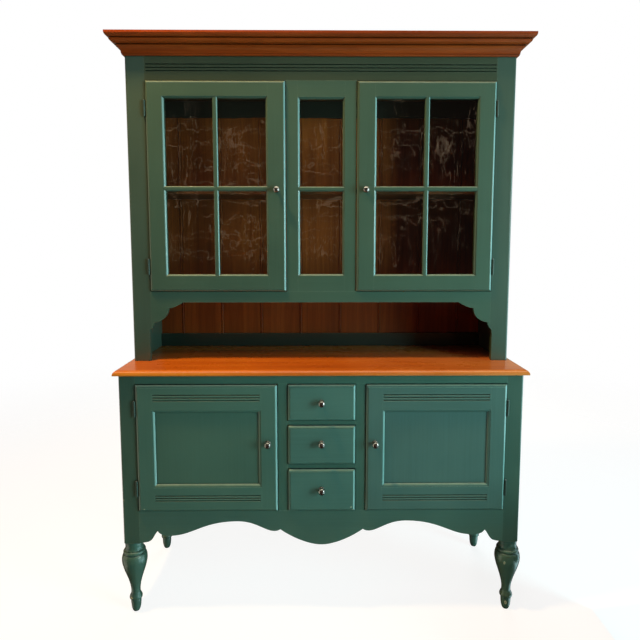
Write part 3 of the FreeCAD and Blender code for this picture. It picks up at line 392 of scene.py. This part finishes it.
# ------------------------------------------------------------------ materials
base_in = (0.649 + 0.156) / 2.0
up_in = 0.381
CHERRY = ((0.165, 0.021, 0.0025), (0.300, 0.039, 0.0045), (0.420, 0.064, 0.0085))
MATS = {
    "paint_z": paint("green_paint_upright", "Z", tint=(0.98, 0.87, 0.91), arris=0.08, wear=0.5),
    "paint_base_z": paint("green_paint_base_upright", "Z", tint=LIT_TINT),
    "paint_base_x": paint("green_paint_base_rail", "X", tint=LIT_TINT),
    "paint_post": paint("green_paint_posts", "Z", arris=0.15, wear=0.6, tint=(0.96, 0.94, 0.98), chips=[(-0.7052, -0.219, 0.4380, 0.0022, 0.004)]),
    # painted light: brighter, bluer copies of the green paint for the base pieces the window lights most
    "paint_apron": paint("green_paint_apron", "X", tint=(1.28, 1.26, 1.36)),
    "paint_panel_left": paint("green_paint_left_panel", "Z", tint=(1.18, 1.23, 1.30)),
    "paint_panel_right": paint("green_paint_right_panel", "Z", tint=(1.30, 1.27, 1.56)),
    "paint_x": paint("green_paint_rail", "X"),
    "paint_top_rail": paint("green_paint_top_rail", "X", tint=LIT_TINT, chips=[(-0.1547, -0.219, 0.8560, 0.004, 0.0028)]),
    # painted light: the drawers' paint made brighter and bluer, for the window light on them
    "paint_drawer": paint("green_paint_drawers", "X", tint=(1.32, 1.50, 1.75), chips=[(0.1044, -0.229, 0.4137, 0.0035, 0.0025),
                                                             (0.1116, -0.229, 0.4025, 0.0030, 0.0035)]),
    "paint_sides": paint("green_paint_case_rails", ("sides", 0.0, 0.675), tint=LIT_TINT),
    "paint_leg": paint("green_paint_legs", "Z", rough=0.30, arris=0.12, tint=LIT_TINT, chips=[
        (0.6596, -0.2245, 0.1970, 0.0040, 0.0075), (0.6860, -0.2220, 0.1900, 0.0020, 0.0025),
        (0.6760, -0.2050, 0.0290, 0.0060, 0.0105), (-0.6920, -0.2050, 0.0577, 0.0060, 0.0026),
        (-0.6628, -0.2050, 0.0594, 0.0045, 0.0022), (-0.6763, -0.2245, 0.1980, 0.0022, 0.0022),
        (-0.7010, -0.2050, 0.0480, 0.0030, 0.0040), (0.6950, 0.1800, 0.0300, 0.0050, 0.0080),
        (-0.6800, 0.1780, 0.0600, 0.0050, 0.0040)]),
    # painted shade: the frieze's paint darkened and less green, for the cornice's shadow
    "paint_frieze": paint("green_paint_frieze", "X", tint=(0.88, 0.64, 0.54)),
    # painted shade: the green paint darkened nearly to black, for the shaded back rails inside the case and niche
    "paint_inner_x": paint("green_paint_inner_rail", "X", wear=0.3, rough=0.45, tint=(0.20, 0.22, 0.22)),
    "hinge": paint("green_paint_hinges", "Z", wear=0.3, rough=0.62, arris=0.15, tint=(0.40, 0.40, 0.40)),
    "top": wood("worktop_wood", "X", (0.40, 0.070, 0.005), (0.60, 0.135, 0.008), (0.70, 0.205, 0.017), rough=0.27,
                coat=0.40, coat_rough=0.12, figure=0.26, pores=0.30, edge_dark=0.10, bump=0.25, rings=40.0,
                painted_sheen=(0.72, 0.36, 0.17)),
    "cornice": wood("cornice_wood", ("mitre", 0.699, -0.079), *CHERRY, rough=0.36, coat=0.05, coat_rough=0.16, spec=0.20, cavity_shade=0.85, dull_top=0.4,
                    figure=0.30, pores=0.35, edge_dark=0.25, bump=0.35, rings=70.0),
    "boards": wood("back_board_wood", "Z", (0.125, 0.018, 0.003), (0.205, 0.032, 0.005), (0.290, 0.053, 0.009),
                   rough=0.46, figure=0.40, pores=0.35, board=(0.0884 - 10 * 0.1675, 0.1675, 0.15), edge_dark=0.75,
                   rings=34.0, spec=0.3, painted_light_above=1.06),
    "back": wood("base_back_wood", "Z", (0.16, 0.075, 0.028), (0.27, 0.135, 0.055), (0.36, 0.19, 0.085), rough=0.55,
                 figure=0.35, pores=0.4, edge_dark=0.2),
    "shelf": wood("shelf_wood", "X", (0.055, 0.017, 0.006), (0.095, 0.032, 0.010), (0.135, 0.048, 0.015), rough=0.36,
                  coat=0.15, figure=0.3, pores=0.4, edge_dark=0.2),
    "inner_x": wood("interior_wood_x", "X", (0.30, 0.175, 0.080), (0.45, 0.29, 0.15), (0.58, 0.40, 0.23), rough=0.5,
                    figure=0.45, pores=0.35, edge_dark=0.15),
    "inner_y": wood("interior_wood_y", "Y", (0.30, 0.175, 0.080), (0.45, 0.29, 0.15), (0.58, 0.40, 0.23), rough=0.5,
                    figure=0.45, pores=0.35, edge_dark=0.15),
    "knob": metal("antique_pewter_metal", (0.45, 0.41, 0.37), (0.64, 0.60, 0.55), 0.22, 0.45),
    "steel": metal("zinc_steel", (0.30, 0.30, 0.29), (0.40, 0.40, 0.39), 0.42, 0.2),
    "glass": glass("wavy_glass"),
}

USE = {
    "paint_post": ["corner_posts"],
    "paint_top_rail": ["base_top_rail"],
    "paint_drawer": ["bottom_drawer_front", "middle_drawer_front", "top_drawer_front"],
    "paint_base_z": ["base_mullions", "side_panels"],
    "paint_base_x": ["drawer_rails"],
    "paint_apron": ["front_apron"],
    "paint_panel_left": ["base_left_door_panel"],
    "paint_panel_right": ["base_right_door_panel"],
    "paint_z": ["upper_sides", "upper_stiles"],
    "paint_x": ["upper_lower_rail"],
    "paint_frieze": ["upper_top_rail"],
    "paint_sides": ["case_rails"],
    "paint_leg": ["legs"],
    "paint_inner_x": ["back_rails"],
    "hinge": ["hinge_frame_leaves"] + [f"{t}_{s}_door_hinge_leaves" for t in ("base", "upper") for s in ("left", "right")],
    "top": ["counter_top"],
    "cornice": ["cornice"],
    "boards": ["back_boards"],
    "back": ["base_back_panel"],
    "shelf": ["display_shelf", "case_boards"],
    "inner_x": ["base_bottom_board", "cupboard_shelves"],
    "inner_y": ["base_partitions", "shelf_cleats", "drawer_runners", "bottom_drawer_box", "middle_drawer_box", "top_drawer_box"],
    "knob": [f"{t}_{s}_door_knob" for t in ("base", "upper") for s in ("left", "right")]
            + [f"{d}_drawer_knob" for d in ("bottom", "middle", "top")],
    "steel": ["hinge_pins", "leg_bolts", "shelf_pins", "tie_brackets", "door_catches"],
}
for side, sx in (("left", -1), ("right", 1)):
    # painted light: the base doors' paint made brighter and bluer, for the window light on them
    MATS[f"bf_{side}"] = paint(f"green_paint_base_{side}_door", ("frame", sx * base_in, 0.2465 - 0.056),
                               tint=(1.24, 1.36, 1.50) if side == "left" else (1.28, 1.28, 1.55), groove_highlight=0.75,
                               chips=[(-0.6280, -0.229, 0.4080, 0.0030, 0.0028)] if side == "left" else ())
    MATS[f"uf_{side}"] = paint(f"green_paint_upper_{side}_door", ("frame", sx * up_in, 0.1885))
    MATS[f"ub_{side}"] = paint(f"green_paint_{side}_bars", ("bars", sx * up_in, 0.0095))
    USE[f"bf_{side}"] = [f"base_{side}_door_frame"]
    USE[f"uf_{side}"] = [f"upper_{side}_door_frame"]
    USE[f"ub_{side}"] = [f"upper_{side}_door_muntins"]
MATS["sash"] = paint("green_paint_centre_sash", ("frame", 0.0, 0.085))
USE["sash"] = ["centre_sash"]

for key, names in USE.items():
    for n in names:
        o = NODES[n]
        o.data.materials.clear()
        o.data.materials.append(MATS[key])


# -------------------------------------------------------- softened CAD edges
def soften(node, width, angle=40.0, segments=2):
    o = NODES[node]
    w = o.modifiers.new("merge", "WELD")
    w.merge_threshold = 0.00002
    b = o.modifiers.new("arris", "BEVEL")
    b.width = width
    b.segments = segments
    b.limit_method = "ANGLE"
    b.angle_limit = math.radians(angle)
    b.harden_normals = True
    b.miter_outer = "MITER_ARC"


for n in ("side_panels", "back_rails", "display_shelf", "case_boards", "base_bottom_board", "cupboard_shelves",
          "shelf_cleats", "base_partitions", "drawer_runners", "bottom_drawer_box", "middle_drawer_box", "top_drawer_box"):
    soften(n, 0.0008)


# ---------------------------------------------------------------- wavy panes
def pane(name, cells, y_mid, half, seed, body, node):
    """Old-looking drawn glass: each light is a closed thin sheet whose faces undulate."""
    verts, faces = [], []

    def wave(x, z, k):
        p = Vector((x * 17.0 + seed * 3.1, k * 5.7 + seed, z * 6.5 + seed * 1.7))
        q = Vector((x * 46.0 + seed, k * 9.1, z * 21.0 - seed))
        r = Vector((x * 9.0 - seed, k * 3.3 + 8.0, z * 15.0 + seed * 2.0))
        w = 0.00042 * noise.noise(p) + 0.00011 * noise.noise(q) + 0.00034 * noise.noise(r)
        return max(-0.00058, min(0.00058, w))

    for ci, (x0, x1, z0, z1) in enumerate(cells):
        nx = max(2, round((x1 - x0) / 0.0045))
        nz = max(2, round((z1 - z0) / 0.0060))
        base = len(verts)
        for k, sgn in ((0, -1.0), (1, 1.0)):
            for j in range(nz + 1):
                for i in range(nx + 1):
                    x = x0 + (x1 - x0) * i / nx
                    z = z0 + (z1 - z0) * j / nz
                    verts.append((x, y_mid + sgn * half + wave(x + ci * 2.0, z + ci * 3.0, k), z))
        layer = (nx + 1) * (nz + 1)
        at = lambda k, i, j: base + k * layer + j * (nx + 1) + i
        for j in range(nz):
            for i in range(nx):
                faces.append((at(0, i, j), at(0, i + 1, j), at(0, i + 1, j + 1), at(0, i, j + 1)))
                faces.append((at(1, i, j), at(1, i, j + 1), at(1, i + 1, j + 1), at(1, i + 1, j)))
        for i in range(nx):
            faces.append((at(0, i, 0), at(1, i, 0), at(1, i + 1, 0), at(0, i + 1, 0)))
            faces.append((at(0, i, nz), at(0, i + 1, nz), at(1, i + 1, nz), at(1, i, nz)))
        for j in range(nz):
            faces.append((at(0, 0, j), at(0, 0, j + 1), at(1, 0, j + 1), at(1, 0, j)))
            faces.append((at(0, nx, j), at(1, nx, j), at(1, nx, j + 1), at(0, nx, j + 1)))
    me = bpy.data.meshes.new(name)
    me.from_pydata(verts, [], faces)
    me.validate()
    for p in me.polygons:
        p.use_smooth = abs(p.normal.y) > 0.7
    me.materials.append(MATS["glass"])
    o = bpy.data.objects.new(name, me)
    bpy.context.scene.collection.objects.link(o)
    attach(o, body)
    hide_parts(node)
    return o


bars_z = 1.544
for i, (side, sx) in enumerate((("left", -1), ("right", 1))):
    lo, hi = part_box(f"upper_{side}_door_glass")
    xm = sx * up_in
    g = 0.0004
    cells = [(lo.x, xm - g, lo.z, bars_z - g), (xm + g, hi.x, lo.z, bars_z - g),
             (lo.x, xm - g, bars_z + g, hi.z), (xm + g, hi.x, bars_z + g, hi.z)]
    pane(f"upper_{side}_door_wavy_glass", cells, (lo.y + hi.y) / 2, 0.0009, 3.0 + 7 * i, f"upper_{side}_door",
         f"upper_{side}_door_glass")
lo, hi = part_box("centre_sash_glass")
pane("centre_sash_wavy_glass", [(lo.x, hi.x, lo.z, bars_z - 0.0004), (lo.x, hi.x, bars_z + 0.0004, hi.z)],
     (lo.y + hi.y) / 2, 0.0009, 23.0, "case", "centre_sash_glass")

# -------------------------------------------------------------------- stage
def plane(name, verts, faces):
    me = bpy.data.meshes.new(name)
    me.from_pydata(verts, [], faces)
    o = bpy.data.objects.new(name, me)
    bpy.context.scene.collection.objects.link(o)
    return o


# pale floor that runs out into the white background
floor = plane("floor", [(-9, -9, 0), (9, -9, 0), (9, 9, 0), (-9, 9, 0)], [(0, 1, 2, 3)])
floor.visible_glossy = False
fm = Mat("pale_floor")
tone = fm.noise(fm.P, 0.7, 3, 0.5)
path = fm.n("ShaderNodeLightPath")
depth = fm.math("ADD", path.outputs["Diffuse Depth"], path.outputs["Glossy Depth"])
through = fm.math("MULTIPLY", path.outputs["Is Transmission Ray"], fm.math("LESS_THAN", depth, 0.5))
seen = fm.math("MAXIMUM", path.outputs["Is Camera Ray"], through)
pale = fm.mix(fm.range(tone, 0.3, 0.7), (0.50, 0.495, 0.48), (0.56, 0.555, 0.54))
fp = fm.principled(Base_Color=fm.mix(seen, pale, (0.24, 0.24, 0.26)), Roughness=0.7,
                   Specular_IOR_Level=0.1, Emission_Color=(1.0, 0.995, 0.985))
fm.t.links.new(fm.math("MULTIPLY", seen, 0.85), fp.inputs["Emission Strength"])
far = fm.range(fm.vmath("LENGTH", fm.P), 1.3, 4.5, 0.0, 1.0, smooth=True)
gone = fm.n("ShaderNodeBsdfTransparent")
fmix = fm.n("ShaderNodeMixShader")
fm.put(fmix.inputs[0], far)
fm.t.links.new(fp.outputs[0], fmix.inputs[1])
fm.t.links.new(gone.outputs[0], fmix.inputs[2])
fm.t.links.new(fmix.outputs[0], fm.out.inputs["Surface"])
floor.data.materials.append(fm.m)

# thin bright bars and soft blobs of a room behind the camera, seen only as reflections in the panes
bars, cells = [], []
lines = [(-2.45 + 0.31 * k, -2.438 + 0.31 * k, 1.85 + 0.13 * (k % 3), 2.75 + 0.11 * (k % 4)) for k in range(17)]
lines += [(-2.30 + 0.37 * k, -2.288 + 0.37 * k, 0.95 + 0.09 * (k % 4), 1.62 + 0.07 * (k % 3)) for k in range(13)]
lines += [(-2.4 + 0.5 * (k % 3), 0.4 + 0.6 * (k % 4), 1.18 + 0.215 * k, 1.190 + 0.215 * k) for k in range(8)]
lines += [(-1.05, -0.99, 2.45, 2.70), (1.45, 1.50, 2.35, 2.60), (0.55, 0.60, 1.25, 1.45), (-0.45, -0.41, 1.28, 1.50)]
for x0, x1, z0, z1 in lines:
    k = len(bars)
    bars += [(x0, -4.6, z0), (x1, -4.6, z0), (x1, -4.6, z1), (x0, -4.6, z1)]
    cells.append((k, k + 1, k + 2, k + 3))
room = plane("room_bars", bars, cells)
room.visible_camera = room.visible_diffuse = room.visible_shadow = False
rm = Mat("room_glow")
glow = rm.n("ShaderNodeEmission")
glow.inputs["Color"].default_value = (1.0, 0.70, 0.46, 1.0)
glow.inputs["Strength"].default_value = 1.05
rm.t.links.new(glow.outputs[0], rm.out.inputs["Surface"])
room.data.materials.append(rm.m)

world = bpy.data.worlds.new("world")
bpy.context.scene.world = world
world.use_nodes = True
wt = world.node_tree
wt.nodes.clear()
wo = wt.nodes.new("ShaderNodeOutputWorld")
lp = wt.nodes.new("ShaderNodeLightPath")


def background(colour, strength):
    n = wt.nodes.new("ShaderNodeBackground")
    n.inputs["Color"].default_value = (*colour, 1.0)
    n.inputs["Strength"].default_value = strength
    return n.outputs[0]


def choose(f, a, b):
    n = wt.nodes.new("ShaderNodeMixShader")
    wt.links.new(f, n.inputs[0])
    wt.links.new(a, n.inputs[1])
    wt.links.new(b, n.inputs[2])
    return n.outputs[0]


def calc(op, a, b):
    n = wt.nodes.new("ShaderNodeMath")
    n.operation = op
    for sock, v in zip(n.inputs, (a, b)):
        if isinstance(v, bpy.types.NodeSocket):
            wt.links.new(v, sock)
        else:
            sock.default_value = v
    return n.outputs[0]


# the background is white to the eye, also when it is seen straight through a pane
bounces = calc("ADD", lp.outputs["Diffuse Depth"], lp.outputs["Glossy Depth"])
direct = calc("MAXIMUM", lp.outputs["Is Camera Ray"],
              calc("MULTIPLY", lp.outputs["Is Transmission Ray"], calc("LESS_THAN", bounces, 0.5)))
env = choose(lp.outputs["Is Glossy Ray"], background((0.92, 0.90, 0.85), 0.06), background((1.0, 0.62, 0.50), 0.045))
wt.links.new(choose(direct, env, background((1.0, 1.0, 1.0), 1.0)), wo.inputs["Surface"])


def area(name, loc, target, size, power, colour, size_y=None, glossy=True, through=True):
    d = bpy.data.lights.new(name, "AREA")
    d.energy = power
    d.color = colour
    d.shape = "RECTANGLE"
    d.size = size
    d.size_y = size_y or size
    o = bpy.data.objects.new(name, d)
    bpy.context.scene.collection.objects.link(o)
    o.location = loc
    o.rotation_euler = (Vector(target) - Vector(loc)).to_track_quat("-Z", "Y").to_euler()
    o.visible_glossy = glossy
    o.visible_transmission = through
    return o


area("window_right", (3.0, -2.15, 1.33), (0.0, -0.2, 1.0), 1.3, 134.0, (0.46, 0.98, 1.0), 2.1, glossy=False,
     through=False)
area("lamp_overhead", (-1.10, -0.60, 3.40), (-0.2, -0.15, 1.2), 0.30, 77.0, (1.0, 0.64, 0.25), 0.22, glossy=False)
area("ceiling_bounce", (0.1, -1.45, 3.30), (0.0, -0.2, 1.1), 1.8, 11.0, (1.0, 0.60, 0.50), 0.9, glossy=False, through=False)
area("floor_bounce", (0.6, -1.30, 0.06), (0.2, -0.22, 0.75), 2.2, 11.0, (0.28, 1.0, 1.0), 1.0, glossy=False, through=False)

area("back_fill", (0.6, 3.3, 2.3), (0.0, 0.2, 1.0), 2.2, 60.0, (1.0, 0.97, 0.92), 1.6, glossy=False, through=False)

# the window and a bright side wall, as the polished edges, knobs and rounded parts mirror them
wall = plane("side_wall", [(2.6, -1.25, -1.90), (2.6, 0.60, -1.90), (2.6, 0.60, 2.35), (2.6, -1.25, 2.35),
                           (3.25, -1.60, -1.90), (2.75, -2.70, -1.90), (2.75, -2.70, 2.35), (3.25, -1.60, 2.35)],
             [(0, 1, 2, 3), (4, 5, 6, 7)])
wall.visible_camera = wall.visible_diffuse = wall.visible_shadow = wall.visible_transmission = False
wm = Mat("side_wall_glow")
wall_glow = wm.n("ShaderNodeEmission")
wall_glow.inputs["Color"].default_value = (0.60, 0.94, 1.0, 1.0)
wall_glow.inputs["Strength"].default_value = 3.0
wm.t.links.new(wall_glow.outputs[0], wm.out.inputs["Surface"])
wall.data.materials.append(wm.m)

# a pale ceiling above and in front, mirrored by the upward lips and the flutes
ceiling = plane("ceiling", [(-2.0, -1.50, 3.3), (2.0, -1.50, 3.3), (2.0, -0.30, 3.3), (-2.0, -0.30, 3.3)], [(0, 1, 2, 3)])
ceiling.visible_camera = ceiling.visible_diffuse = ceiling.visible_shadow = ceiling.visible_transmission = False
cm = Mat("ceiling_glow")
ceiling_glow = cm.n("ShaderNodeEmission")
ceiling_glow.inputs["Color"].default_value = (1.0, 1.0, 0.80, 1.0)
ceiling_glow.inputs["Strength"].default_value = 2.5
cm.t.links.new(ceiling_glow.outputs[0], cm.out.inputs["Surface"])
ceiling.data.materials.append(cm.m)

# a dim wall at the left for the left-hand lips
left = plane("left_wall", [(-2.6, -1.60, -1.90), (-2.6, 0.30, -1.90), (-2.6, 0.30, 2.30), (-2.6, -1.60, 2.30)], [(0, 1, 2, 3)])
left.visible_camera = left.visible_diffuse = left.visible_shadow = left.visible_transmission = False
lm = Mat("left_wall_glow")
left_glow = lm.n("ShaderNodeEmission")
left_glow.inputs["Color"].default_value = (1.0, 1.0, 0.82, 1.0)
left_glow.inputs["Strength"].default_value = 1.0
lm.t.links.new(left_glow.outputs[0], lm.out.inputs["Surface"])
left.data.materials.append(lm.m)

# the pale room behind the hutch, mirrored by the two free ends of the worktop
behind = plane("behind", [(-3.0, 1.2, 0.85), (3.0, 1.2, 0.85), (3.0, 1.2, 2.40), (-3.0, 1.2, 2.40)], [(0, 1, 2, 3)])
behind.visible_camera = behind.visible_diffuse = behind.visible_shadow = behind.visible_transmission = False
bm = Mat("behind_glow")
back_glow = bm.n("ShaderNodeEmission")
back_glow.inputs["Color"].default_value = (1.0, 1.0, 0.72, 1.0)
back_glow.inputs["Strength"].default_value = 0.38
bm.t.links.new(back_glow.outputs[0], bm.out.inputs["Surface"])
behind.data.materials.append(bm.m)

# a small bright pane that the knobs mirror as a point
pane_x = plane("small_pane", [(2.45, -2.20, 1.35), (2.75, -1.85, 1.35), (2.75, -1.85, 1.90), (2.45, -2.20, 1.90)], [(0, 1, 2, 3)])
pane_x.visible_camera = pane_x.visible_diffuse = pane_x.visible_shadow = pane_x.visible_transmission = False
sm = Mat("small_pane_glow")
point_glow = sm.n("ShaderNodeEmission")
point_glow.inputs["Color"].default_value = (0.95, 1.0, 1.0, 1.0)
point_glow.inputs["Strength"].default_value = 22.0
sm.t.links.new(point_glow.outputs[0], sm.out.inputs["Surface"])
pane_x.data.materials.append(sm.m)

# a panel beyond the right end keeps the window light off the right leg
flag = plane("flag", [(1.0, -0.90, 0.0), (1.0, -0.20, 0.0), (1.0, -0.20, 0.50), (1.0, -0.90, 0.50)], [(0, 1, 2, 3)])
flag.visible_camera = flag.visible_transmission = False
flm = Mat("flag_dark")
flm.principled(Base_Color=flm.mix(flm.noise(flm.P, 3.0), (0.02, 0.02, 0.02), (0.04, 0.04, 0.04)), Roughness=0.9)
flag.data.materials.append(flm.m)

scene = bpy.context.scene
scene.view_settings.view_transform = "Standard"
scene.view_settings.look = "None"
scene.view_settings.exposure = 0.0
scene.view_settings.gamma = 1.0
scene.cycles.max_bounces = 10
scene.cycles.transmission_bounces = 8
scene.cycles.transparent_max_bounces = 8
scene.cycles.caustics_reflective = False
scene.cycles.caustics_refractive = False
scene.cycles.sample_clamp_indirect = 4.0
